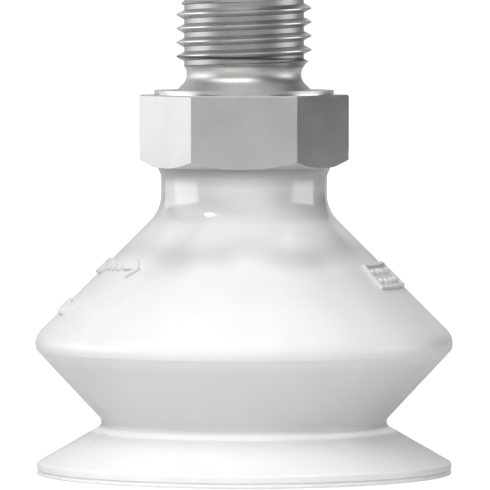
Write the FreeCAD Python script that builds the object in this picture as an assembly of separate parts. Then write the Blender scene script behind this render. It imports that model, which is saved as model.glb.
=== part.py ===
import FreeCAD
import Part
import math
import os

# Bellows suction cup, 40 mm, 1.5 folds, on a turned holder with a G1/4 stud.
#
# The real object is two pieces: the metal holder and the silicone cup moulded onto its
# spigot. The cup moves by bending, so its one moulding is divided here into rings: the
# stiff ones (neck, outer fold, waist, skirt bead, rim) and the walls that bend between
# them. They meet face to face on level planes.
#
# Frame: millimetres, +Z up the stud, origin at the centre of the rim's bottom plane.

# ---- holder: male thread G1/4 A (55 degree profile, 19 threads per inch) ----
THREAD_CREST_R = 6.5
THREAD_PITCH = 25.4 / 19.0
THREAD_DEPTH = 0.74
THREAD_ROOT_R = THREAD_CREST_R - THREAD_DEPTH
THREAD_CREST_FLAT = 0.12
THREAD_FLANK_ANGLE = 27.5    # each flank, from level
THREAD_CREST_Z = 44.82       # height of one crest on the +X side
THREAD_BOTTOM_Z = 39.25
RIDGE_OVERLAP = 0.1          # how far the ridge is made into the core and past the crest
CREST_SECTORS = 12           # the crest's cylinder is made in sectors, each a face of its own
STUD_TOP_Z = 45.6
STUD_CHAMFER = 0.8           # at 45 degrees, to just below the thread's root
STUD_BORE_CHAMFER = 0.35

# ---- holder: undercut, washer face and hexagon ----
UNDERCUT_R = 5.5
UNDERCUT_Z = 38.43           # where the undercut is narrowest
UNDERCUT_ARC_R = 1.25        # down to a 45 degree flare that runs out on the washer face
WASHER_R = 8.64
WASHER_TOP_Z = 36.91
HEX_ACROSS_FLATS = 17.46     # 11/16 in spanner
HEX_TOP_Z = 36.48
HEX_BOTTOM_Z = 29.5
HEX_CHAMFER_ANGLE = 27.0     # under the hexagon, from the circle inside its flats
HEX_TOP_EDGE = 0.12          # edge break around its top

# ---- holder: vacuum bore and the spigot inside the cup's neck ----
BORE_R = 3.5
SPIGOT_R = 5.0
FLANGE_R = 6.2
FLANGE_TOP_Z = 26.0
FLANGE_CHAMFER = 0.6
SPIGOT_BOTTOM_Z = 24.6

# ---- cup: outer outline, as the sharp corners that its lines meet in ----
NECK_R = 8.0
NECK_FOOT_FILLET = 0.35      # flare against the hexagon
SHOULDER_R = 3.6             # blend from the neck to the upper cone
UPPER_CONE_SUM = 33.42       # radius + height along the 45 degree upper cone
LOWER_CONE_ANGLE = 43.0      # of the lower cone, from the axis
WAIST_CORNER = (13.41, 4.87)
SKIRT_ANGLE = 30.0           # of the skirt, from level
RIM_R = 20.0
FOLD_ROUND = 1.55
WAIST_ROUND = 0.61

# ---- cup: walls ----
UPPER_WALL = 1.6
LOWER_WALL = 1.3
SKIRT_WALL = 1.2
CHAMBER_TOP_Z = 23.0         # flat ceiling of the chamber, under the spigot
THROAT_R = 4.2               # opening in that ceiling
FOLD_INNER_ROUND = 0.5
WAIST_INNER_ROUND = 1.8

# ---- cup: levels that divide the moulding, from the rim up ----
RIM_TOP_Z = 1.2
BEAD_BOTTOM_Z = 2.5
BEAD_TOP_Z = 3.1
WAIST_BOTTOM_Z = 4.8
WAIST_TOP_Z = 6.2
FOLD_BOTTOM_Z = 11.0
FOLD_TOP_Z = 14.4
NECK_BOTTOM_Z = 23.6

CUT_MARGIN = 1.0             # how far a cutting shape runs past what it cuts
AXIS_POINT = FreeCAD.Vector(0, 0, 0)
AXIS = FreeCAD.Vector(0, 0, 1)


def corner_arc(before, corner, after, arc_r):
    """The two tangent points and the middle of an arc that rounds a corner of an outline."""
    to_before = (before - corner).normalize()
    to_after = (after - corner).normalize()
    half_angle = to_before.getAngle(to_after) / 2
    run = arc_r / math.tan(half_angle)
    bisector = (to_before + to_after).normalize()
    middle = corner + bisector * (arc_r / math.sin(half_angle) - arc_r)
    return corner + to_before * run, middle, corner + to_after * run


def outline_face(points, rounds=None):
    """A flat face in the XZ plane through (radius, height) points, with some corners rounded.

    rounds maps a point's place in the list to the radius of its arc.
    """
    rounds = rounds or {}
    corners = [FreeCAD.Vector(r, 0, z) for r, z in points]
    edges = []
    ends = []
    for i, corner in enumerate(corners):
        if i not in rounds:
            ends.append((corner, corner))
            continue
        following = corners[(i + 1) % len(corners)]
        start, middle, end = corner_arc(corners[i - 1], corner, following, rounds[i])
        edges.append(Part.Arc(start, middle, end).toShape())
        ends.append((start, end))
    for i, (_, leave) in enumerate(ends):
        arrive = ends[(i + 1) % len(ends)][0]
        edges.append(Part.LineSegment(leave, arrive).toShape())
    return Part.Face(Part.Wire(Part.__sortEdges__(edges)))


def turned(points, rounds=None, angle=360.0):
    """The solid that an outline sweeps as it turns about the axis."""
    return outline_face(points, rounds).revolve(AXIS_POINT, AXIS, angle)


def annulus(inner_r, outer_r, bottom_z, top_z):
    return turned([(inner_r, bottom_z), (outer_r, bottom_z), (outer_r, top_z), (inner_r, top_z)])


def crossing(slope_a, offset_a, slope_b, offset_b):
    """Where the lines radius = slope * height + offset cross, as (radius, height)."""
    height = (offset_b - offset_a) / (slope_a - slope_b)
    return slope_a * height + offset_a, height


# ---- holder ----

def thread_envelope():
    """The space that the thread's ridge fills around the stud's core, sector by sector.

    The sectors meet half a step away from +X, where each turn of the ridge starts.
    """
    inner_r = (BORE_R + THREAD_ROOT_R) / 2
    outline = [
        (inner_r, THREAD_BOTTOM_Z),
        (THREAD_ROOT_R, THREAD_BOTTOM_Z),
        (THREAD_CREST_R, THREAD_BOTTOM_Z + THREAD_DEPTH),
        (THREAD_CREST_R, STUD_TOP_Z - STUD_CHAMFER),
        (THREAD_CREST_R - STUD_CHAMFER, STUD_TOP_Z),
        (inner_r, STUD_TOP_Z),
    ]
    step = 360.0 / CREST_SECTORS
    sectors = []
    for i in range(CREST_SECTORS):
        sector = turned(outline, angle=step)
        sector.rotate(AXIS_POINT, AXIS, (i + 0.5) * step)
        sectors.append(sector)
    return sectors


def thread_ridge():
    """The thread's ridge as a right-hand helix, a little taller and longer than it ends up."""
    spread = math.tan(math.radians(THREAD_FLANK_ANGLE))
    half_crest = THREAD_CREST_FLAT / 2
    half_foot = half_crest + (THREAD_DEPTH + RIDGE_OVERLAP) * spread
    half_top = half_crest - RIDGE_OVERLAP * spread
    turns_below = math.ceil((THREAD_CREST_Z - THREAD_BOTTOM_Z) / THREAD_PITCH) + 1
    start_z = THREAD_CREST_Z - turns_below * THREAD_PITCH
    height = STUD_TOP_Z - start_z + THREAD_PITCH
    taper = 0
    helix = Part.makeLongHelix(THREAD_PITCH, height, THREAD_ROOT_R, taper)
    helix.translate(FreeCAD.Vector(0, 0, start_z))
    section = outline_face([
        (THREAD_ROOT_R - RIDGE_OVERLAP, start_z - half_foot),
        (THREAD_CREST_R + RIDGE_OVERLAP, start_z - half_top),
        (THREAD_CREST_R + RIDGE_OVERLAP, start_z + half_top),
        (THREAD_ROOT_R - RIDGE_OVERLAP, start_z + half_foot),
    ])
    return Part.Wire(helix).makePipeShell([section.OuterWire], True, True)


def threaded_stud():
    """The stud above its undercut: a core with the ridge, cut to the stud's own space."""
    core = annulus(0, THREAD_ROOT_R, THREAD_BOTTOM_Z, STUD_TOP_Z)
    ridge = thread_ridge()
    pieces = [ridge.common(sector) for sector in thread_envelope()]
    return core.fuse(pieces)


def undercut_neck():
    """The polished neck from the washer face up to the thread, waisted by one arc."""
    centre_r = UNDERCUT_R + UNDERCUT_ARC_R
    low_r = centre_r - UNDERCUT_ARC_R * math.sqrt(0.5)
    low_z = UNDERCUT_Z - UNDERCUT_ARC_R * math.sqrt(0.5)
    high_r = centre_r - math.sqrt(UNDERCUT_ARC_R ** 2 - (THREAD_BOTTOM_Z - UNDERCUT_Z) ** 2)
    flare_r = low_r + low_z - WASHER_TOP_Z
    low = FreeCAD.Vector(low_r, 0, low_z)
    high = FreeCAD.Vector(high_r, 0, THREAD_BOTTOM_Z)
    foot = FreeCAD.Vector(flare_r, 0, WASHER_TOP_Z)
    foot_centre = FreeCAD.Vector(0, 0, WASHER_TOP_Z)
    high_centre = FreeCAD.Vector(0, 0, THREAD_BOTTOM_Z)
    edges = [
        Part.LineSegment(high_centre, foot_centre).toShape(),
        Part.LineSegment(foot_centre, foot).toShape(),
        Part.LineSegment(foot, low).toShape(),
        Part.Arc(low, FreeCAD.Vector(UNDERCUT_R, 0, UNDERCUT_Z), high).toShape(),
        Part.LineSegment(high, high_centre).toShape(),
    ]
    return Part.Face(Part.Wire(edges)).revolve(AXIS_POINT, AXIS, 360)


def hexagon():
    """The spanner hexagon, flats facing +Y and -Y, chamfered below, with its washer face."""
    corner_r = HEX_ACROSS_FLATS / math.sqrt(3)
    corners = [
        FreeCAD.Vector(corner_r * math.cos(turn), corner_r * math.sin(turn), HEX_BOTTOM_Z)
        for turn in (math.radians(60 * i) for i in range(6))
    ]
    prism = Part.Face(Part.makePolygon(corners + corners[:1])).extrude(
        FreeCAD.Vector(0, 0, HEX_TOP_Z - HEX_BOTTOM_Z)
    )
    top_edges = [edge for edge in prism.Edges if edge.BoundBox.ZMin > HEX_BOTTOM_Z + CUT_MARGIN]
    prism = prism.makeChamfer(HEX_TOP_EDGE, top_edges)
    inside_r = HEX_ACROSS_FLATS / 2
    reach_r = corner_r + CUT_MARGIN
    rise = (reach_r - inside_r) * math.tan(math.radians(HEX_CHAMFER_ANGLE))
    envelope = turned([
        (0, HEX_BOTTOM_Z),
        (inside_r, HEX_BOTTOM_Z),
        (reach_r, HEX_BOTTOM_Z + rise),
        (reach_r, HEX_TOP_Z),
        (0, HEX_TOP_Z),
    ])
    return prism.common(envelope).fuse(annulus(0, WASHER_R, HEX_TOP_Z, WASHER_TOP_Z))


def spigot():
    """The spigot that the cup is moulded onto, with its holding flange."""
    return turned([
        (0, SPIGOT_BOTTOM_Z),
        (FLANGE_R, SPIGOT_BOTTOM_Z),
        (FLANGE_R, FLANGE_TOP_Z - FLANGE_CHAMFER),
        (FLANGE_R - FLANGE_CHAMFER, FLANGE_TOP_Z),
        (SPIGOT_R, FLANGE_TOP_Z),
        (SPIGOT_R, HEX_BOTTOM_Z),
        (0, HEX_BOTTOM_Z),
    ])


def threaded_holder():
    """The whole turned holder, with its vacuum bore right through."""
    bore = turned([
        (0, SPIGOT_BOTTOM_Z),
        (BORE_R, SPIGOT_BOTTOM_Z),
        (BORE_R, STUD_TOP_Z - STUD_BORE_CHAMFER),
        (BORE_R + STUD_BORE_CHAMFER, STUD_TOP_Z),
        (0, STUD_TOP_Z),
    ])
    blank = hexagon().fuse([spigot(), undercut_neck(), threaded_stud()])
    return blank.cut(bore)


# ---- cup ----

def whole_cup():
    """The silicone cup as one moulding around the spigot."""
    lower = math.tan(math.radians(LOWER_CONE_ANGLE))
    skirt = -1 / math.tan(math.radians(SKIRT_ANGLE))
    waist_r, waist_z = WAIST_CORNER
    lower_offset = waist_r - lower * waist_z
    skirt_offset = waist_r - skirt * waist_z
    # the inner lines are the outer ones moved in by the wall
    upper_inner_sum = UPPER_CONE_SUM - UPPER_WALL * math.sqrt(2)
    lower_inner_offset = lower_offset - LOWER_WALL / math.cos(math.radians(LOWER_CONE_ANGLE))
    skirt_inner_offset = skirt_offset - SKIRT_WALL / math.sin(math.radians(SKIRT_ANGLE))

    shoulder = (NECK_R, UPPER_CONE_SUM - NECK_R)
    fold = crossing(-1, UPPER_CONE_SUM, lower, lower_offset)
    rim_edge_z = (RIM_R - skirt_offset) / skirt
    inner_waist = crossing(lower, lower_inner_offset, skirt, skirt_inner_offset)
    inner_fold = crossing(-1, upper_inner_sum, lower, lower_inner_offset)

    outline = [
        ((FLANGE_R, HEX_BOTTOM_Z), 0),
        ((NECK_R, HEX_BOTTOM_Z), 0),
        (shoulder, SHOULDER_R),
        (fold, FOLD_ROUND),
        (WAIST_CORNER, WAIST_ROUND),
        ((RIM_R, rim_edge_z), 0),
        ((RIM_R, 0), 0),
        ((skirt_inner_offset, 0), 0),
        (inner_waist, WAIST_INNER_ROUND),
        (inner_fold, FOLD_INNER_ROUND),
        ((upper_inner_sum - CHAMBER_TOP_Z, CHAMBER_TOP_Z), 0),
        ((THROAT_R, CHAMBER_TOP_Z), 0),
        ((THROAT_R, SPIGOT_BOTTOM_Z), 0),
        ((FLANGE_R, SPIGOT_BOTTOM_Z), 0),
    ]
    points = [point for point, _ in outline]
    rounds = {i: arc_r for i, (_, arc_r) in enumerate(outline) if arc_r}
    cup = turned(points, rounds)
    grip = annulus(THROAT_R, FLANGE_R, SPIGOT_BOTTOM_Z, HEX_BOTTOM_Z).cut(spigot())
    foot = NECK_R + NECK_FOOT_FILLET
    flare = turned([
        (NECK_R - NECK_FOOT_FILLET, HEX_BOTTOM_Z),
        (foot, HEX_BOTTOM_Z),
        (NECK_R, HEX_BOTTOM_Z - NECK_FOOT_FILLET),
        (NECK_R - NECK_FOOT_FILLET, HEX_BOTTOM_Z - NECK_FOOT_FILLET),
    ])
    return cup.fuse([grip, flare])


def level_slice(moulding, bottom_z, top_z):
    """The ring of the moulding between two level planes."""
    slab = annulus(0, RIM_R + CUT_MARGIN, bottom_z, top_z)
    return moulding.common(slab)


CUP_RINGS = {
    "cup_neck": (NECK_BOTTOM_Z, HEX_BOTTOM_Z),
    "upper_bellows_wall": (FOLD_TOP_Z, NECK_BOTTOM_Z),
    "outer_fold_ring": (FOLD_BOTTOM_Z, FOLD_TOP_Z),
    "lower_bellows_wall": (WAIST_TOP_Z, FOLD_BOTTOM_Z),
    "waist_ring": (WAIST_BOTTOM_Z, WAIST_TOP_Z),
    "inner_skirt": (BEAD_TOP_Z, WAIST_BOTTOM_Z),
    "skirt_bead": (BEAD_BOTTOM_Z, BEAD_TOP_Z),
    "outer_skirt": (RIM_TOP_Z, BEAD_BOTTOM_Z),
    "sealing_rim": (0, RIM_TOP_Z),
}


def main():
    os.makedirs("parts", exist_ok=True)
    nodes = {"threaded_holder": threaded_holder()}
    cup = whole_cup()
    for name, (bottom_z, top_z) in CUP_RINGS.items():
        nodes[name] = level_slice(cup, bottom_z, top_z)
    for name, shape in nodes.items():
        if not shape.isValid() or len(shape.Solids) != 1:
            raise ValueError(f"{name} is not one valid solid: {len(shape.Solids)} solids")
        shape.Solids[0].exportStep(f"parts/{name}.step")
        box = shape.optimalBoundingBox(False)
        print(f"{name:20s} {shape.Volume:8.2f} mm3  z {box.ZMin:.3f} to {box.ZMax:.3f}  x {box.XMax:.3f}")


main()
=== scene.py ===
import math

import bmesh
import bpy
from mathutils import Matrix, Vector


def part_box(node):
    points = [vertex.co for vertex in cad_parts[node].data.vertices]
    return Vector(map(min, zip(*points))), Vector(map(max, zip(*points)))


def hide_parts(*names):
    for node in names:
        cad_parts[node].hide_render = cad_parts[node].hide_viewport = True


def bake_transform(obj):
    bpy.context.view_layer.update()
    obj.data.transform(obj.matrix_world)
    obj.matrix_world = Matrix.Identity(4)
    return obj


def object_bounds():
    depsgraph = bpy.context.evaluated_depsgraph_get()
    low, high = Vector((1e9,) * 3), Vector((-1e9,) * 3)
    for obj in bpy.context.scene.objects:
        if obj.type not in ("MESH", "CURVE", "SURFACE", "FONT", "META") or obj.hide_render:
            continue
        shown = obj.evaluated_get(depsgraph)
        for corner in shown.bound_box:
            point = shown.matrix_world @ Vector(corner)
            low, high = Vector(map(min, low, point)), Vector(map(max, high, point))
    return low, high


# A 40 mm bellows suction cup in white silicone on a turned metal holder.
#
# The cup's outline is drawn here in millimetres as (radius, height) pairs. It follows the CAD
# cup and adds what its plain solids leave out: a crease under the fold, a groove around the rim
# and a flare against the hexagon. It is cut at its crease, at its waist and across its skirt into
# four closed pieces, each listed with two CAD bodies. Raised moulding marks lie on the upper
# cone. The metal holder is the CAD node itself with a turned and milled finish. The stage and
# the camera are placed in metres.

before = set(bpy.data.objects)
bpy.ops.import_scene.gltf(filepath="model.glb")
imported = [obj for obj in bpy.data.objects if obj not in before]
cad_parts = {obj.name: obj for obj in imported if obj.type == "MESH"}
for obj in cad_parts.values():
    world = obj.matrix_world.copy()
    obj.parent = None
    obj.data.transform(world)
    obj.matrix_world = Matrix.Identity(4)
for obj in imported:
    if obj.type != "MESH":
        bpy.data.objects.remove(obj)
CAD_LOW, CAD_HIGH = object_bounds()

MM = 0.001


def metres(millimetres):
    return [value * MM for value in millimetres]


def level(node, top):
    """The height of a CAD node's top or bottom, in millimetres."""
    low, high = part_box(node)
    return (high.z if top else low.z) / MM


def reach(node):
    """The largest radius that stays inside a CAD node's box on every side, in millimetres."""
    low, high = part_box(node)
    return min(-low.x, -low.y, high.x, high.y) / MM


# ---- levels and radii that come from the frame ----
NECK_TOP_Z = level("cup_neck", True)
WAIST_BOTTOM_Z = level("waist_ring", False)
BEAD_TOP_Z = level("skirt_bead", True)
BEAD_BOTTOM_Z = level("skirt_bead", False)
RIM_TOP_Z = level("sealing_rim", True)
SPIGOT_BOTTOM_Z = level("threaded_holder", False)
RIM_R = reach("sealing_rim")
FOLD_R = reach("outer_fold_ring")

# ---- cup, outside ----
NECK_R = 8.0
NECK_FLARE = (0.34, 0.8)      # how far it flares against the hexagon, and over what height
NECK_FLARE_ROUND = 1.2
NECK_GAP = 0.01               # between the neck's top and the hexagon
SHOULDER_R = 3.6
UPPER_CONE_SUM = 33.42        # radius + height along the 45 degree upper cone
UPPER_CONE_ANGLE = 45.0       # of the cone's outward direction, from level
FOLD_ROUND = 1.8              # nose of the fold, from the upper cone down to its crease
LOWER_CONE_ANGLE = 43.0       # from the axis
WAIST_CORNER = (13.41, 4.87)
WAIST_ROUND = 0.61
SKIRT_ANGLE = 30.0            # from level
CREASE_DEPTH = 0.09           # fine line under the fold
CREASE_WIDTH = 0.16
RIM_EDGE_ROUND = 0.12
GROOVE_Z = 0.38               # fine line around the rim's edge
GROOVE_DEPTH = 0.2
GROOVE_WIDTH = 0.34

# ---- cup, inside ----
UPPER_WALL = 1.6
LOWER_WALL = 1.3
SKIRT_WALL = 1.2
CHAMBER_TOP_Z = 23.0
THROAT_R = 4.2
FOLD_INNER_ROUND = 0.5
WAIST_INNER_ROUND = 1.8
CEILING_ROUND = 0.7
THROAT_ROUND = 0.3
SPIGOT_R = 5.0
FLANGE_R = 6.2
FLANGE_TOP_Z = 26.0
FLANGE_CHAMFER = 0.6
SPIGOT_GAP = 0.12             # the silicone's clearance around the spigot

# ---- how fine the turned pieces are ----
TURNS = 256
LINE_STEP = 0.4
ARC_STEP = math.radians(8)
ARC_STEPS_LEAST = 3
SHORTEST_RUN = 1e-6           # a shorter run of an outline is left out
SHARP_EDGE = math.radians(24)


# ---- outlines ----

def arc_points(centre, arc_r, start, end):
    """Points along an arc, both ends included."""
    count = max(ARC_STEPS_LEAST, math.ceil(abs(end - start) / ARC_STEP))
    turns = [start + (end - start) * i / count for i in range(count + 1)]
    return [centre + arc_r * Vector((math.cos(a), math.sin(a))) for a in turns]


def corner_arc(before, corner, after, arc_r):
    """Points of the arc that rounds a corner, from the line before it to the line after it."""
    to_before = (before - corner).normalized()
    to_after = (after - corner).normalized()
    half = to_before.angle(to_after) / 2
    centre = corner + (to_before + to_after).normalized() * (arc_r / math.sin(half))
    first = corner + to_before * (arc_r / math.tan(half)) - centre
    last = corner + to_after * (arc_r / math.tan(half)) - centre
    start = math.atan2(first.y, first.x)
    turn = math.atan2(last.y, last.x) - start
    turn = (turn + math.pi) % (2 * math.pi) - math.pi
    return arc_points(centre, arc_r, start, start + turn)


def subdivided(rough, step):
    """The line through the rough points, with a point at least every step."""
    fine = [rough[0]]
    for end in rough[1:]:
        start = fine[-1]
        length = (end - start).length
        if length < SHORTEST_RUN:
            continue
        count = max(1, math.ceil(length / step))
        fine += [start.lerp(end, (i + 1) / count) for i in range(count)]
    return fine


def outline(corners):
    """A fine line through (radius, height) or (radius, height, round) corners."""
    points = [Vector(corner[:2]) for corner in corners]
    rough = []
    for i, corner in enumerate(corners):
        if len(corner) > 2 and 0 < i < len(corners) - 1:
            rough += corner_arc(points[i - 1], points[i], points[i + 1], corner[2])
        else:
            rough.append(points[i])
    return subdivided(rough, LINE_STEP)


def crossing(slope_a, offset_a, slope_b, offset_b):
    """Where two lines, each radius = slope * height + offset, cross."""
    height = (offset_b - offset_a) / (slope_a - slope_b)
    return slope_a * height + offset_a, height


LOWER_SLOPE = math.tan(math.radians(LOWER_CONE_ANGLE))
LOWER_OFFSET = WAIST_CORNER[0] - LOWER_SLOPE * WAIST_CORNER[1]
SKIRT_SLOPE = -1 / math.tan(math.radians(SKIRT_ANGLE))
SKIRT_OFFSET = WAIST_CORNER[0] - SKIRT_SLOPE * WAIST_CORNER[1]


def fold_nose():
    """The fold's round nose, from the upper cone to where it meets the lower cone."""
    centre_r = FOLD_R - FOLD_ROUND
    centre = Vector((centre_r, UPPER_CONE_SUM - centre_r - FOLD_ROUND * math.sqrt(2)))
    downward = math.radians(LOWER_CONE_ANGLE)
    outward = Vector((math.cos(downward), -math.sin(downward)))
    to_cone = (Vector(WAIST_CORNER) - centre).dot(outward)
    last = math.acos(to_cone / FOLD_ROUND) - downward
    return arc_points(centre, FOLD_ROUND, math.radians(UPPER_CONE_ANGLE), last)


def cup_outside():
    """The cup's outer outline from the hexagon to the rim's bottom, and its crease's height."""
    nose = fold_nose()
    crease = nose[-1] - Vector((CREASE_DEPTH, CREASE_WIDTH / 2))
    below = crease.y - CREASE_WIDTH / 2
    neck = outline([
        (NECK_R + NECK_FLARE[0], NECK_TOP_Z - NECK_GAP),
        (NECK_R, NECK_TOP_Z - NECK_FLARE[1], NECK_FLARE_ROUND),
        (NECK_R, UPPER_CONE_SUM - NECK_R, SHOULDER_R),
        tuple(nose[0]),
    ])
    rim_edge_z = (RIM_R - SKIRT_OFFSET) / SKIRT_SLOPE
    skirt = outline([
        (LOWER_SLOPE * below + LOWER_OFFSET, below),
        (*WAIST_CORNER, WAIST_ROUND),
        (RIM_R, rim_edge_z, RIM_EDGE_ROUND),
        (RIM_R, GROOVE_Z + GROOVE_WIDTH / 2),
        (RIM_R - GROOVE_DEPTH, GROOVE_Z),
        (RIM_R, GROOVE_Z - GROOVE_WIDTH / 2),
        (RIM_R, 0, RIM_EDGE_ROUND),
        (RIM_R - 2 * RIM_EDGE_ROUND, 0),
    ])
    return neck + nose[1:] + [crease] + skirt, crease.y


def cup_inside():
    """The cup's inner outline from the spigot down to the rim's bottom."""
    upper_sum = UPPER_CONE_SUM - UPPER_WALL * math.sqrt(2)
    lower_offset = LOWER_OFFSET - LOWER_WALL / math.cos(math.radians(LOWER_CONE_ANGLE))
    skirt_offset = SKIRT_OFFSET - SKIRT_WALL / math.sin(math.radians(SKIRT_ANGLE))
    under_flange = SPIGOT_BOTTOM_Z - SPIGOT_GAP
    over_flange = FLANGE_TOP_Z + SPIGOT_GAP
    return outline([
        (SPIGOT_R + SPIGOT_GAP, NECK_TOP_Z - NECK_GAP),
        (SPIGOT_R + SPIGOT_GAP, over_flange),
        (FLANGE_R - FLANGE_CHAMFER + SPIGOT_GAP, over_flange),
        (FLANGE_R + SPIGOT_GAP, over_flange - FLANGE_CHAMFER),
        (FLANGE_R + SPIGOT_GAP, under_flange),
        (THROAT_R, under_flange),
        (THROAT_R, CHAMBER_TOP_Z, THROAT_ROUND),
        (upper_sum - CHAMBER_TOP_Z, CHAMBER_TOP_Z, CEILING_ROUND),
        (*crossing(-1, upper_sum, LOWER_SLOPE, lower_offset), FOLD_INNER_ROUND),
        (*crossing(LOWER_SLOPE, lower_offset, SKIRT_SLOPE, skirt_offset), WAIST_INNER_ROUND),
        (skirt_offset, 0),
    ])


def cut_at(start, end, cut_z):
    """Where a falling run passes a level, or nothing if it doesn't."""
    if not start.y > cut_z > end.y:
        return []
    return [start.lerp(end, (start.y - cut_z) / (start.y - end.y))]


def between(line, top_z, bottom_z):
    """The stretch of a falling outline between two levels, cut exactly at them."""
    kept = [point for point in line if bottom_z <= point.y <= top_z]
    for start, end in zip(line, line[1:]):
        kept = cut_at(start, end, top_z) + kept + cut_at(start, end, bottom_z)
    return kept


# ---- meshes ----

def new_object(name, bm, material):
    bmesh.ops.recalc_face_normals(bm, faces=bm.faces)
    for face in bm.faces:
        face.smooth = True
    mesh = bpy.data.meshes.new(name)
    bm.to_mesh(mesh)
    bm.free()
    mesh.set_sharp_from_angle(angle=SHARP_EDGE)
    mesh.materials.append(material)
    obj = bpy.data.objects.new(name, mesh)
    bpy.context.scene.collection.objects.link(obj)
    return obj


def bridge(bm, ring, following):
    """Quads between two closed rings that have the same number of points."""
    count = len(ring)
    for j in range(count):
        k = (j + 1) % count
        bm.faces.new((ring[j], ring[k], following[k], following[j]))


def turned(name, loop, material):
    """A closed solid that a closed loop of (radius, height) points sweeps around the axis."""
    bm = bmesh.new()
    rings = []
    for i in range(TURNS):
        turn = 2 * math.pi * i / TURNS
        x, y = math.cos(turn) * MM, math.sin(turn) * MM
        rings.append([bm.verts.new((p.x * x, p.x * y, p.y * MM)) for p in loop])
    for i in range(TURNS):
        bridge(bm, rings[i], rings[(i + 1) % TURNS])
    return new_object(name, bm, material)


# ---- node trees ----

# each *_NOISE below is a noise's scale and detail
NOISE_SPREAD = (0.3, 0.7)     # where most of a noise's values lie


class Nodes:
    """Short calls for building a node tree."""

    def __init__(self, tree):
        self.tree = tree
        tree.nodes.clear()

    def add(self, kind, inputs=None, **settings):
        node = self.tree.nodes.new(kind)
        for key, value in settings.items():
            setattr(node, key, value)
        for key, value in (inputs or {}).items():
            self.fill(node.inputs[key], value)
        return node

    def fill(self, socket, value):
        """Links a socket into an input, or sets the input to a value."""
        if isinstance(value, bpy.types.NodeSocket):
            self.tree.links.new(value, socket)
        else:
            socket.default_value = value

    def place(self):
        """The point's own place on the object, in metres."""
        return self.add("ShaderNodeTexCoord").outputs["Object"]

    def geometry(self, kind):
        return self.add("ShaderNodeNewGeometry").outputs[kind]

    def split(self, vector):
        node = self.add("ShaderNodeSeparateXYZ", {"Vector": vector})
        return [node.outputs[axis] for axis in "XYZ"]

    def math(self, operation, *values):
        node = self.add("ShaderNodeMath", dict(enumerate(values)), operation=operation)
        return node.outputs[0]

    def product(self, first, *others):
        for other in others:
            first = self.math("MULTIPLY", first, other)
        return first

    def gap(self, first, second):
        """How far apart two values are."""
        return self.math("ABSOLUTE", self.math("SUBTRACT", first, second))

    def vector(self, operation, *values):
        node = self.add("ShaderNodeVectorMath", dict(enumerate(values)), operation=operation)
        return node.outputs["Vector"]

    def flat(self, vector):
        """The vector without its height."""
        return self.vector("MULTIPLY", vector, (1.0, 1.0, 0.0))

    def dot(self, first, second):
        node = self.add("ShaderNodeVectorMath", {0: first, 1: second}, operation="DOT_PRODUCT")
        return node.outputs["Value"]

    def length(self, vector):
        node = self.add("ShaderNodeVectorMath", {0: vector}, operation="LENGTH")
        return node.outputs["Value"]

    def scaled(self, vector, factor):
        node = self.add("ShaderNodeVectorMath", {0: vector, "Scale": factor}, operation="SCALE")
        return node.outputs["Vector"]

    def noise(self, vector, scale, detail):
        node = self.add("ShaderNodeTexNoise", {"Vector": vector, "Scale": scale, "Detail": detail})
        return node.outputs["Fac"]

    def remap(self, value, from_low, from_high, to_low, to_high, smooth=False):
        node = self.add("ShaderNodeMapRange", {
            "Value": value,
            "From Min": from_low,
            "From Max": from_high,
            "To Min": to_low,
            "To Max": to_high,
        }, interpolation_type="SMOOTHSTEP" if smooth else "LINEAR")
        return node.outputs["Result"]

    def ramp(self, value, stops):
        """A value that follows (place, level) stops, places from 0 to 1."""
        node = self.add("ShaderNodeValToRGB", {"Fac": value})
        elements = node.color_ramp.elements
        while len(elements) < len(stops):
            elements.new(1.0)
        for element, (place, level_there) in zip(elements, stops):
            element.position = place
            element.color = grey(level_there)
        return node.outputs["Color"]

    def mix_colour(self, factor, first, second):
        """A mix of two colours. The node's colour sockets share their names with others."""
        node = self.add("ShaderNodeMix", data_type="RGBA")
        inputs = (node.inputs[0], node.inputs[6], node.inputs[7])
        for socket, value in zip(inputs, (factor, first, second)):
            self.fill(socket, value)
        return node.outputs[2]

    def bump(self, height, strength, distance):
        node = self.add("ShaderNodeBump", {
            "Height": height,
            "Strength": strength,
            "Distance": distance,
        })
        return node.outputs["Normal"]

    def finish(self, shader, target="ShaderNodeOutputMaterial"):
        self.add(target, {"Surface": shader})


def new_material(name):
    material = bpy.data.materials.new(name)
    material.use_nodes = True
    return material, Nodes(material.node_tree)


def grey(value):
    return (value, value, value, 1.0)


# ---- silicone ----

SILICONE_TINT = (0.997, 0.998, 1.0)
# how white the translucent silicone is painted at each height in millimetres, as painted light and
# shade: least over the metal spigot and under the hexagon, more on the lower cone, and most on the
# fold, the skirt and the rim, with a painted highlight band at the skirt's top edge
PAINTED_TONE_BY_HEIGHT = (
    # rim and skirt
    (0.0, 0.94), (1.0, 0.94), (1.4, 0.885), (3.4, 0.88), (3.9, 0.86), (4.25, 0.93), (4.6, 0.93),
    # lower cone
    (4.95, 0.75), (7.5, 0.78), (9.0, 0.81), (10.8, 0.86),
    # fold
    (11.2, 0.92), (11.7, 0.95), (12.9, 0.915), (14.0, 0.88),
    # upper cone and shoulder
    (16.0, 0.875), (19.2, 0.81), (20.5, 0.77), (24.2, 0.78),
    # neck
    (24.8, 0.70), (26.2, 0.68), (27.6, 0.73), (28.5, 0.58), (29.3, 0.38),
)

# painted shade: a darker wavy band around the shoulder
WAVE_HIGH_Z = 22.1
WAVE_LOW_Z = 21.35
WAVE_LOBES = 6
WAVE_HALF_WIDTH = 1.6
WAVE_DEPTH = 0.165

# painted light and shade: irregular clouds around the shoulder, for light through the wall
CLOUD_Z = 23.5
CLOUD_FADE = (3.0, 4.6)       # how far from that height the clouds begin to fade, and are gone
CLOUD_DEPTH = 0.06
CLOUD_NOISE = (160, 1)
CLOUD_SPREAD = (0.38, 0.62)
CLOUD_SHIFT = (0.013, 0.0, 0.0)
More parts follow.
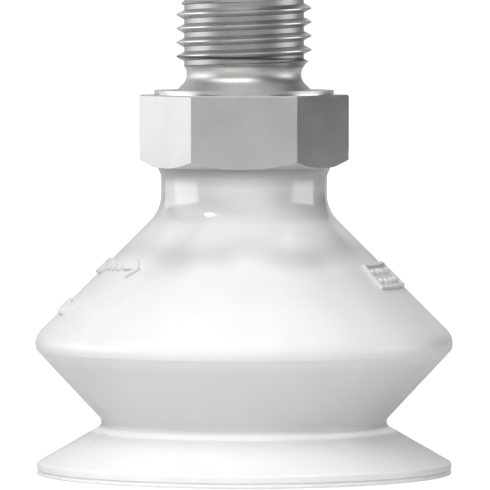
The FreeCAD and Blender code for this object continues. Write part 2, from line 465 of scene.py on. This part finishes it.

# painted highlight: the silicone glows along the thin skirt's upper edge, beside the waist
SKIRT_GLOW_Z = 4.35
SKIRT_GLOW_HALF_WIDTH = 0.35
SKIRT_GLOW = 0.19

# painted light: a glow on faces that look towards the axis or straight down, for light through the
# walls: how far they look outward, or upward, where it begins, and where it is full
INSIDE_GLOW = 0.12
FACING_AXIS = (-0.15, -0.35)
FACING_DOWN = (-0.85, -0.95)

# skin
GRAIN_NOISE = (9000, 3)
GRAIN_SPREAD = (0.2, 0.8)
GRAIN_RELIEF = 0.05           # how high the grain stands beside the flow marks
FLOW_NOISE = (260, 3)
FLOW_SHADE = (0.985, 1.015)
PATCH_NOISE = (60, 2)
SILICONE_ROUGHNESS = (0.27, 0.33)
GRAIN_ROUGHNESS = 0.02
SILICONE_IOR = 1.45
SILICONE_BUMP = 0.08
SILICONE_RELIEF = 0.03        # height of the flow marks
COAT_Z = (20.0, 23.0)         # the neck comes from a more highly polished part of the mould
COAT_WEIGHT = (0.1, 1.0)      # below and above those heights
COAT_ROUGHNESS = 0.1
COAT_IOR = 1.75

# painted shade: a raised mark's sides look less far out and up than its top, and are a little
# darker
FACING_OUT_AND_UP = (0.8, 1.35)
MARK_SIDE_SHADE = 0.86


def painted_shoulder_shade(nodes, place):
    """A factor that is under 1 along a wavy band around the shoulder: a painted shade."""
    x, y, z = nodes.split(place)
    turn = nodes.math("ARCTAN2", x, nodes.math("MULTIPLY", y, -1.0))
    lobes = nodes.math("COSINE", nodes.math("MULTIPLY", turn, WAVE_LOBES))
    wave_z = nodes.remap(lobes, 1.0, -1.0, WAVE_HIGH_Z * MM, WAVE_LOW_Z * MM)
    off_wave = nodes.gap(z, wave_z)
    return nodes.remap(off_wave, 0.0, WAVE_HALF_WIDTH * MM, 1 - WAVE_DEPTH, 1.0, smooth=True)


def painted_shoulder_clouds(nodes, place, z):
    """A factor near 1 that is a little lighter and darker in soft patches around the shoulder:
    painted light and shade.
    """
    cloud = nodes.noise(nodes.vector("ADD", place, CLOUD_SHIFT), *CLOUD_NOISE)
    cloud = nodes.remap(cloud, *CLOUD_SPREAD, -1.0, 1.0, smooth=True)
    off_shoulder = nodes.gap(z, CLOUD_Z * MM)
    depth = nodes.remap(off_shoulder, *metres(CLOUD_FADE), CLOUD_DEPTH, 0.0, smooth=True)
    return nodes.math("ADD", 1.0, nodes.math("MULTIPLY", cloud, depth))


def painted_silicone_glow(nodes, z, normal, outward):
    """The silicone's painted glow, for light that comes through it."""
    off_glow = nodes.gap(z, SKIRT_GLOW_Z * MM)
    skirt = nodes.remap(off_glow, 0.0, SKIRT_GLOW_HALF_WIDTH * MM, SKIRT_GLOW, 0.0, smooth=True)
    to_axis = nodes.remap(nodes.dot(normal, outward), *FACING_AXIS, 0.0, 1.0)
    down = nodes.remap(nodes.split(normal)[2], *FACING_DOWN, 0.0, 1.0)
    inside = nodes.math("MAXIMUM", to_axis, down)
    return nodes.math("ADD", skirt, nodes.math("MULTIPLY", inside, INSIDE_GLOW))


def silicone(name, side_shade=1.0):
    """White moulded silicone: a satin skin with fine grain, faint flow marks and soft gloss.

    Faces that look less far out and up than the upper cone, as a raised mark's sides do, are
    darkened by side_shade, a painted shade.
    """
    material, nodes = new_material(name)
    place = nodes.place()
    z = nodes.split(place)[2]
    normal = nodes.geometry("Normal")
    outward = nodes.vector("NORMALIZE", nodes.flat(place))
    grain = nodes.noise(place, *GRAIN_NOISE)
    flow = nodes.noise(place, *FLOW_NOISE)
    patches = nodes.noise(place, *PATCH_NOISE)
    # painted light and shade that follow the height
    painted_tone = nodes.ramp(nodes.math("DIVIDE", z, NECK_TOP_Z * MM),
                           [(height / NECK_TOP_Z, white) for height, white in PAINTED_TONE_BY_HEIGHT])
    # the flow marks' tone, times painted light and shade: by height, a wavy band and clouds on the
    # shoulder
    shade = nodes.product(
        nodes.remap(flow, *NOISE_SPREAD, *FLOW_SHADE),
        painted_shoulder_shade(nodes, place),
        painted_tone,
        painted_shoulder_clouds(nodes, place, z),
    )
    # painted shade on faces that turn away from the cone's slope, such as a mark's sides
    if side_shade < 1.0:
        facing = nodes.dot(normal, nodes.vector("ADD", outward, (0.0, 0.0, 1.0)))
        side = nodes.remap(facing, *FACING_OUT_AND_UP, side_shade, 1.0, smooth=True)
        shade = nodes.product(shade, side)
    roughness = nodes.math(
        "ADD",
        nodes.remap(patches, *NOISE_SPREAD, *SILICONE_ROUGHNESS),
        nodes.remap(grain, *GRAIN_SPREAD, -GRAIN_ROUGHNESS, GRAIN_ROUGHNESS),
    )
    relief = nodes.math("ADD", nodes.math("MULTIPLY", grain, GRAIN_RELIEF), flow)
    shader = nodes.add("ShaderNodeBsdfPrincipled", {
        "Base Color": nodes.scaled(SILICONE_TINT, shade),
        "Roughness": roughness,
        "IOR": SILICONE_IOR,
        "Coat Weight": nodes.remap(z, *metres(COAT_Z), *COAT_WEIGHT),
        "Coat Roughness": COAT_ROUGHNESS,
        "Coat IOR": COAT_IOR,
        "Emission Color": grey(1.0),
        # painted light: the silicone glows
        "Emission Strength": painted_silicone_glow(nodes, z, normal, outward),
        "Normal": nodes.bump(relief, SILICONE_BUMP, SILICONE_RELIEF * MM),
    })
    nodes.finish(shader.outputs["BSDF"])
    return material


# ---- holder's metal ----

METAL_COLOURS = ((0.70, 0.695, 0.68, 1), (0.745, 0.74, 0.725, 1))
METAL_CLOUD_NOISE = (300, 3)
METAL_ROUGHNESS = (0.41, 0.43)

THREAD_Z = (39.1, 39.3)       # the thread's finish begins, and is full
THREAD_SMOOTHER = 0.13        # how much less rough than the undercut
ROOT_R = (6.3, 5.8)           # the root's painted shade begins, and is full
# painted shade in the thread's roots
ROOT_SHADE_COLOUR = (0.32, 0.315, 0.31, 1)
ROOT_SHADE_MIX = 0.5
ROOT_ROUGHER = 0.12           # how much rougher than the crests

HEXAGON_Z = (36.8, 36.4)      # the milled finish begins, and is full
HEXAGON_SMOOTHER = 0.25

# painted shadow: a dark line where the thread's last turn runs out, falling from the left to the
# right
RUN_OUT_Z = (40.15, 39.88)
RUN_OUT_R = 6.4
RUN_OUT_EDGES = (0.05, 0.22)  # how far from its middle it begins to fade, and is gone
RUN_OUT_SHADOW_MIX = 0.85
RUN_OUT_SHADOW_COLOUR = (0.06, 0.06, 0.06, 1)

# fine turning marks on the level faces, and a finer grain everywhere
TURNING_STEP = 0.09
TURNING_RELIEF = 0.3
LEVEL_FACE = (0.3, 0.8)       # how level a face is where the marks begin, and are full
METAL_GRAIN_NOISE = (5000, 2)
METAL_GRAIN_RELIEF = 0.01
METAL_BUMP = 0.15
METAL_RELIEF = 0.01


def painted_run_out_shadow(nodes, x, z):
    """How much of the run-out line's painted shadow shows."""
    line_z = nodes.remap(x, *metres((-RUN_OUT_R, RUN_OUT_R)), *metres(RUN_OUT_Z))
    off_line = nodes.gap(z, line_z)
    return nodes.remap(off_line, *metres(RUN_OUT_EDGES), RUN_OUT_SHADOW_MIX, 0.0, smooth=True)


def metal_relief(nodes, place, radius):
    """Turning marks on the level faces over a fine grain."""
    turning = nodes.math("MULTIPLY", radius, 2 * math.pi / (TURNING_STEP * MM))
    upward = nodes.split(nodes.geometry("True Normal"))[2]
    level_face = nodes.remap(nodes.math("ABSOLUTE", upward), *LEVEL_FACE, 0.0, 1.0)
    grain = nodes.noise(place, *METAL_GRAIN_NOISE)
    return nodes.math(
        "ADD",
        nodes.math("MULTIPLY", grain, METAL_GRAIN_RELIEF),
        nodes.product(nodes.math("SINE", turning), TURNING_RELIEF, level_face),
    )


def holder_metal():
    """Turned metal: a satin undercut, a smoother milled hexagon and a rougher thread root, painted
    darker as shade.
    """
    material, nodes = new_material("turned_metal")
    place = nodes.place()
    x, _, z = nodes.split(place)
    radius = nodes.length(nodes.flat(place))
    cloud = nodes.noise(place, *METAL_CLOUD_NOISE)
    in_thread = nodes.remap(z, *metres(THREAD_Z), 0.0, 1.0)
    in_root = nodes.product(nodes.remap(radius, *metres(ROOT_R), 0.0, 1.0), in_thread)
    in_hexagon = nodes.remap(z, *metres(HEXAGON_Z), 0.0, 1.0)

    colour = nodes.mix_colour(nodes.remap(cloud, *NOISE_SPREAD, 0.0, 1.0), *METAL_COLOURS)
    # painted shade in the thread's roots
    colour = nodes.mix_colour(nodes.math("MULTIPLY", in_root, ROOT_SHADE_MIX), colour, ROOT_SHADE_COLOUR)
    # painted shadow where the thread's last turn runs out
    colour = nodes.mix_colour(painted_run_out_shadow(nodes, x, z), colour, RUN_OUT_SHADOW_COLOUR)

    roughness = nodes.remap(cloud, *NOISE_SPREAD, *METAL_ROUGHNESS)
    for zone, change in (
        (in_thread, -THREAD_SMOOTHER),
        (in_hexagon, -HEXAGON_SMOOTHER),
        (in_root, ROOT_ROUGHER),
    ):
        roughness = nodes.math("ADD", roughness, nodes.math("MULTIPLY", zone, change))

    relief = metal_relief(nodes, place, radius)
    shader = nodes.add("ShaderNodeBsdfPrincipled", {
        "Base Color": colour,
        "Metallic": 1.0,
        "Roughness": roughness,
        "Normal": nodes.bump(relief, METAL_BUMP, METAL_RELIEF * MM),
    })
    nodes.finish(shader.outputs["BSDF"])
    return material


def finish_holder():
    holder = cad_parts["threaded_holder"]
    holder.data.materials.clear()
    holder.data.materials.append(holder_metal())
    return holder


# ---- cup ----

OUTSIDE, CREASE_Z = cup_outside()
INSIDE = cup_inside()
WAIST_SEAM_Z = WAIST_CORNER[1]
BEAD_SEAM_Z = (BEAD_TOP_Z + BEAD_BOTTOM_Z) / 2
WAIST_BEND_MARGIN = 0.3       # how far above the waist's seam the lower cone's listed zone ends
UPPER_BEND = (24.6, 12.6)     # the upper cone's listed zone lies between these levels, and is given for its marks too

# each piece: its levels, the two CAD bodies it is listed with, the levels where its zone starts
# and ends, and the CAD nodes that it stands for
CUP_PIECES = {
    "silicone_upper_bellows": (
        (NECK_TOP_Z, CREASE_Z), ("holder", "fold"), UPPER_BEND,
        ("cup_neck", "upper_bellows_wall", "outer_fold_ring"),
    ),
    "silicone_lower_bellows": (
        (CREASE_Z, WAIST_SEAM_Z), ("fold", "waist"), (CREASE_Z, WAIST_SEAM_Z + WAIST_BEND_MARGIN),
        ("lower_bellows_wall", "waist_ring"),
    ),
    "silicone_skirt": (
        (WAIST_SEAM_Z, BEAD_SEAM_Z), ("waist", "skirt"), (WAIST_BOTTOM_Z, BEAD_TOP_Z),
        ("inner_skirt", "skirt_bead"),
    ),
    "silicone_lip": (
        (BEAD_SEAM_Z, 0.0), ("skirt", "rim"), (BEAD_BOTTOM_Z, RIM_TOP_Z),
        ("outer_skirt", "sealing_rim"),
    ),
}


def bend(obj, bodies, start_z, end_z):
    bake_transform(obj)


def make_cup(material):
    pieces = []
    for name, ((top_z, bottom_z), bodies, zone, stands_for) in CUP_PIECES.items():
        outer = between(OUTSIDE, top_z, bottom_z)
        inner = between(INSIDE, top_z, bottom_z)
        piece = turned(name, outer + inner[::-1], material)
        bend(piece, bodies, *zone)
        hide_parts(*stands_for)
        pieces.append(piece)
    return pieces


# ---- raised moulding marks on the upper cone ----

MARK_HEIGHT = 0.3
MARK_DEPTH = 0.3              # how far a mark's foot goes into the wall
MARK_DRAFT = 0.06             # how much its top is narrower, each side
MARK_DRAFT_START = 0.5        # share of its height where the draft begins
MARK_STEP = 0.25
ARROW_STROKE = 0.5
BAR_STROKE = 0.45
RING_STROKE = 0.42
FRAME_STROKE = 0.4
RING_SIDES = 24
PIP_SIDES = 20
PIP_DOME = ((1.0, 0.4), (0.8, 0.85), (0.4, 1.0))   # shares of the pip's radius and height

# U is how far along its row a mark lies, and V how far up the cone
RING_U = (-4.2, -1.9)
RING_R = 0.8
ROW_PIP_U = (-0.2, 0.9, 2.0)
ROW_PIP_R = 0.4
ARROW_TAIL_U = 2.9
ARROW_TIP_U = 5.1
ARROW_HEAD = 1.0
ARROW_OVERLAP = 0.1           # how far the head's tip passes the shaft's end
BAR_U = (-1.8, -0.6)
BAR_HEIGHT = 1.8
BOX_U = 1.3
BOX_SIDE = 1.8
PANEL_SIZE = (6.6, 2.9)
PANEL_PIP_U = (-2.3, -1.15, 0.0, 1.15, 2.3)
PANEL_PIP_V = (-0.6, 0.6)
PANEL_PIP_R = 0.3

# where each group of marks lies: its azimuth in degrees from the front, and its centre's height
LEFT_UPPER_ROW = (-70, 20.0)
LEFT_LOWER_ROW = (-81, 16.2)
RIGHT_PANEL = (72, 19.2)

SLANT = math.sqrt(0.5)        # how much a millimetre along the cone, or off it, is up and out


def on_cone(azimuth, centre_z, u, v, height):
    """A point near the upper cone: u mm around it, v mm up its slope, height mm off it.

    The azimuth is in degrees from the front, positive to the right.
    """
    z = centre_z + v * SLANT
    cone_r = UPPER_CONE_SUM - z
    turn = math.radians(azimuth) + u / (UPPER_CONE_SUM - centre_z)
    r = cone_r + height * SLANT
    z += height * SLANT
    return Vector((r * math.sin(turn), -r * math.cos(turn), z)) * MM


def stroke_section(width):
    """The (offset, height) points around a raised line's cross-section."""
    half = width / 2
    draft_z = MARK_HEIGHT * MARK_DRAFT_START
    return [
        (-half, -MARK_DEPTH),
        (-half, draft_z),
        (-half + MARK_DRAFT, MARK_HEIGHT),
        (half - MARK_DRAFT, MARK_HEIGHT),
        (half, draft_z),
        (half, -MARK_DEPTH),
    ]


def add_stroke(bm, place, points, width, closed=False):
    """A raised line along (u, v) points."""
    path = [Vector(p) for p in points]
    if closed:
        path.append(path[0])
    fine = subdivided(path, MARK_STEP)
    if closed:
        fine.pop()
    section = stroke_section(width)
    count = len(fine)
    rings = []
    for i, point in enumerate(fine):
        before = fine[i - 1] if closed or i else point
        after = fine[(i + 1) % count] if closed or i < count - 1 else point
        along = (after - before).normalized()
        across = Vector((-along.y, along.x))
        ring = []
        for offset, height in section:
            spot = point + across * offset
            ring.append(bm.verts.new(on_cone(*place, spot.x, spot.y, height)))
        rings.append(ring)
    for ring, following in zip(rings, rings[1:]):
        bridge(bm, ring, following)
    if closed:
        bridge(bm, rings[-1], rings[0])
    else:
        bm.faces.new(rings[0])
        bm.faces.new(rings[-1][::-1])


def circle_points(u, v, radius, sides):
    turns = [2 * math.pi * i / sides for i in range(sides)]
    return [(u + radius * math.cos(a), v + radius * math.sin(a)) for a in turns]


def box_points(u, v, width, height):
    return [
        (u - width / 2, v - height / 2),
        (u + width / 2, v - height / 2),
        (u + width / 2, v + height / 2),
        (u - width / 2, v + height / 2),
    ]


def add_pip(bm, place, u, v, pip_r):
    """A small raised dome."""
    levels = [(pip_r, -MARK_DEPTH)]
    levels += [(pip_r * share, MARK_HEIGHT * rise) for share, rise in PIP_DOME]
    circles = []
    for radius, height in levels:
        spots = circle_points(u, v, radius, PIP_SIDES)
        circles.append([bm.verts.new(on_cone(*place, *spot, height)) for spot in spots])
    for circle, following in zip(circles, circles[1:]):
        bridge(bm, circle, following)
    bm.faces.new(circles[0][::-1])
    bm.faces.new(circles[-1])


def left_marks(bm):
    """Two rows of plain signs: an air-flow arrow, rings, pips, bars and a box."""
    for u in RING_U:
        ring = circle_points(u, 0, RING_R, RING_SIDES)
        add_stroke(bm, LEFT_UPPER_ROW, ring, RING_STROKE, closed=True)
    for u in ROW_PIP_U:
        add_pip(bm, LEFT_UPPER_ROW, u, 0, ROW_PIP_R)
    shaft = [(ARROW_TAIL_U, 0), (ARROW_TIP_U - ARROW_OVERLAP, 0)]
    barb_u = ARROW_TIP_U - ARROW_HEAD
    head = [(barb_u, ARROW_HEAD), (ARROW_TIP_U, 0), (barb_u, -ARROW_HEAD)]
    add_stroke(bm, LEFT_UPPER_ROW, shaft, ARROW_STROKE)
    add_stroke(bm, LEFT_UPPER_ROW, head, ARROW_STROKE)
    for u in BAR_U:
        add_stroke(bm, LEFT_LOWER_ROW, [(u, -BAR_HEIGHT / 2), (u, BAR_HEIGHT / 2)], BAR_STROKE)
    box = box_points(BOX_U, 0, BOX_SIDE, BOX_SIDE)
    add_stroke(bm, LEFT_LOWER_ROW, box, RING_STROKE, closed=True)


def right_marks(bm):
    """A plain framed panel with pips, as moulders use to count their tool's runs."""
    add_stroke(bm, RIGHT_PANEL, box_points(0, 0, *PANEL_SIZE), FRAME_STROKE, closed=True)
    for u in PANEL_PIP_U:
        for v in PANEL_PIP_V:
            add_pip(bm, RIGHT_PANEL, u, v, PANEL_PIP_R)


def make_marks(name, draw, material):
    bm = bmesh.new()
    draw(bm)
    obj = new_object(name, bm, material)
    bend(obj, ("holder", "fold"), *UPPER_BEND)
    return obj


# ---- stage ----

CENTRE = Vector((0, 0, (CAD_LOW.z + CAD_HIGH.z) / 2))

# soft boxes: azimuth, elevation, distance, width, height in metres, power in watts, and
# whether they show in reflections
SOFT_BOXES = {
    "key_left": (-35, 50, 1.2, 0.9, 0.9, 7.8, False),
    "front": (0, 25, 1.6, 1.2, 0.8, 8.0, False),
    "front_high": (0, 60, 1.2, 0.8, 0.8, 2.4, False),
    "right_high": (40, 50, 1.2, 0.6, 0.6, 1.0, False),
    "left_high": (-90, 50, 1.2, 0.7, 0.7, 0.9, False),
    "left": (-95, 20, 1.0, 0.6, 0.8, 0.5, True),
    "rear_left": (-145, 30, 1.2, 0.6, 0.8, 0.8, True),
    "rear": (175, 10, 1.3, 0.9, 0.6, 4.0, False),
}

# cards that only show in reflections: azimuth, elevation, distance, width, height,
# brightness, and which part of the object they show in
CARDS = {
    "card_left": (-104, 4, 0.7, 1.1, 0.30, 1.2, "both"),
    "card_left_window": (-90, 3, 0.6, 0.49, 0.26, 2.3, "both"),
    "card_right_window": (91, 3, 0.6, 0.45, 0.26, 2.0, "both"),
    "card_spark": (-58, 48, 0.7, 0.13, 0.11, 9.0, "cup"),
    "card_high": (-26, 47, 0.9, 1.2, 0.36, 3.4, "holder"),
    "card_front": (0, 4, 0.9, 1.2, 0.5, 0.46, "both"),
    "card_top": (0, 80, 0.8, 0.8, 0.8, 0.8, "both"),
    "card_rear": (180, 5, 0.8, 0.9, 0.9, 0.6, "both"),
}
WORLD_STRENGTH = 0.1          # as light; the camera sees it white

FLOOR_HALF = 20.0
FLOOR_DROP = 3.2              # in millimetres: the cup hangs clear of the floor as its lip tilts
FLOOR_TONES = (0.73, 0.75)
FLOOR_PATCH_NOISE = (12, 2)
FLOOR_ROUGHNESS = 0.9
FLOOR_GLOSS = 0.1
# the floor glows to the camera, up to full white at FLOOR_FAR from the axis, and less within
# FLOOR_NEAR of it, where its shadow shows
FLOOR_NEAR = 0.1
FLOOR_FAR = 1.0
FLOOR_GLOW_NEAR = 0.75
FLOOR_GLOW_FAR = 1.0


def direction(azimuth, elevation):
    """Unit vector from the object; azimuth from the front, positive to the right."""
    a, e = math.radians(azimuth), math.radians(elevation)
    return Vector((math.sin(a) * math.cos(e), -math.cos(a) * math.cos(e), math.sin(e)))


def aim(obj, place):
    obj.location = place
    obj.rotation_euler = (CENTRE - place).to_track_quat("-Z", "Y").to_euler()


def make_lights():
    for name, (azimuth, elevation, distance, width, height, watts, shows) in SOFT_BOXES.items():
        light = bpy.data.lights.new(name, "AREA")
        light.shape = "RECTANGLE"
        light.size = width
        light.size_y = height
        light.energy = watts
        obj = bpy.data.objects.new(name, light)
        bpy.context.scene.collection.objects.link(obj)
        aim(obj, CENTRE + direction(azimuth, elevation) * distance)
        obj.visible_camera = False
        obj.visible_glossy = shows


def plane(name, width, height, material):
    bm = bmesh.new()
    half_w, half_h = width / 2, height / 2
    spots = ((-half_w, -half_h), (half_w, -half_h), (half_w, half_h), (-half_w, half_h))
    bm.faces.new([bm.verts.new((x, y, 0)) for x, y in spots])
    mesh = bpy.data.meshes.new(name)
    bm.to_mesh(mesh)
    bm.free()
    mesh.materials.append(material)
    obj = bpy.data.objects.new(name, mesh)
    bpy.context.scene.collection.objects.link(obj)
    return obj


def emission(name, strength):
    material, nodes = new_material(name)
    light = nodes.add("ShaderNodeEmission", {"Color": grey(1.0), "Strength": strength})
    nodes.finish(light.outputs["Emission"])
    return material


def light_group(name, objects):
    group = bpy.data.collections.new(name)
    for obj in objects:
        group.objects.link(obj)
    return group


def make_cards(groups):
    for name, (azimuth, elevation, distance, width, height, brightness, lit) in CARDS.items():
        card = plane(name, width, height, emission(name, brightness))
        aim(card, CENTRE + direction(azimuth, elevation) * distance)
        card.visible_camera = False
        card.visible_diffuse = False
        card.visible_shadow = False
        if lit in groups:
            card.light_linking.receiver_collection = groups[lit]


def make_floor():
    """A pale floor that is clear from below, so the cup's inside can be seen through it."""
    material, nodes = new_material("pale_floor")
    place = nodes.place()
    tone = nodes.remap(nodes.noise(place, *FLOOR_PATCH_NOISE), *NOISE_SPREAD, 0.0, 1.0)
    glow = nodes.remap(nodes.length(place), FLOOR_NEAR, FLOOR_FAR, FLOOR_GLOW_NEAR, FLOOR_GLOW_FAR)
    seen = nodes.add("ShaderNodeLightPath").outputs["Is Camera Ray"]
    shader = nodes.add("ShaderNodeBsdfPrincipled", {
        "Base Color": nodes.mix_colour(tone, *(grey(value) for value in FLOOR_TONES)),
        "Roughness": FLOOR_ROUGHNESS,
        "Specular IOR Level": FLOOR_GLOSS,
        "Emission Color": grey(1.0),
        "Emission Strength": nodes.math("MULTIPLY", glow, seen),
    })
    clear = nodes.add("ShaderNodeBsdfTransparent")
    one_sided = nodes.add("ShaderNodeMixShader", {
        0: nodes.geometry("Backfacing"),
        1: shader.outputs["BSDF"],
        2: clear.outputs["BSDF"],
    })
    nodes.finish(one_sided.outputs["Shader"])
    floor = plane("floor", 2 * FLOOR_HALF, 2 * FLOOR_HALF, material)
    floor.location.z = -FLOOR_DROP * MM


def make_world():
    world = bpy.data.worlds.new("studio")
    bpy.context.scene.world = world
    world.use_nodes = True
    nodes = Nodes(world.node_tree)
    seen = nodes.add("ShaderNodeLightPath").outputs["Is Camera Ray"]
    strength = nodes.remap(seen, 0.0, 1.0, WORLD_STRENGTH, 1.0)
    light = nodes.add("ShaderNodeBackground", {"Color": grey(1.0), "Strength": strength})
    nodes.finish(light.outputs["Background"], "ShaderNodeOutputWorld")


# ---- camera, in metres, with its lens and sensor in millimetres ----

CAMERA_DISTANCE = 0.635
CAMERA_HEIGHT = 0.0475
CAMERA_AIM = Vector((0.00009, 0, 0.022))
CAMERA_LENS = 485.0
CAMERA_SENSOR = 36.0
CAMERA_CLIP = (0.01, 100)


def make_camera():
    data = bpy.data.cameras.new("camera")
    data.lens = CAMERA_LENS
    data.sensor_width = CAMERA_SENSOR
    data.clip_start, data.clip_end = CAMERA_CLIP
    camera = bpy.data.objects.new("camera", data)
    bpy.context.scene.collection.objects.link(camera)
    camera.location = (CAMERA_AIM.x, -CAMERA_DISTANCE, CAMERA_HEIGHT)
    camera.rotation_euler = (CAMERA_AIM - camera.location).to_track_quat("-Z", "Y").to_euler()
    bpy.context.scene.camera = camera


cup = make_cup(silicone("white_silicone"))
mark_material = silicone("white_silicone_marks", MARK_SIDE_SHADE)
marks_left = make_marks("moulding_marks_left", left_marks, mark_material)
marks_right = make_marks("moulding_marks_right", right_marks, mark_material)
holder = finish_holder()
make_floor()
make_lights()
make_cards({
    "cup": light_group("lit_cup", cup + [marks_left, marks_right]),
    "holder": light_group("lit_holder", [holder]),
})
make_world()
make_camera()
bpy.context.scene.view_settings.view_transform = "Standard"
bpy.context.view_layer.update()
